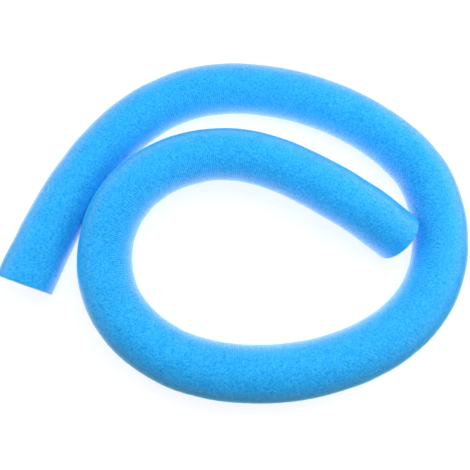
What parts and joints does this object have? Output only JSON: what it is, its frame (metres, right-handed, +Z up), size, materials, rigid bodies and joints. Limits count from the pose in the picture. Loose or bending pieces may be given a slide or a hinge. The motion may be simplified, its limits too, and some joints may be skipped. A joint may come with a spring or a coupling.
{
  "type": "pool noodle",
  "caption": "Soft foam pool noodle, a floating tube with a bore through it and square-cut ends, lying bent round into an open flat spiral; swimmers hold it or lean on it.",
  "frame": {"origin": "centre of the noodle's bounding box in plan, on the surface that the noodle lies on", "axes": "+Z up; +X along the spiral's longest side, from the first end towards the loop; +Y across it, away from both ends"},
  "size_m": [0.5256, 0.3996, 0.0786],
  "materials": {
    "foam": "soft matte closed-cell foam"
  },
  "bodies": {
    "root": {"foam_tube": "foam"}
  },
  "joints": []
}
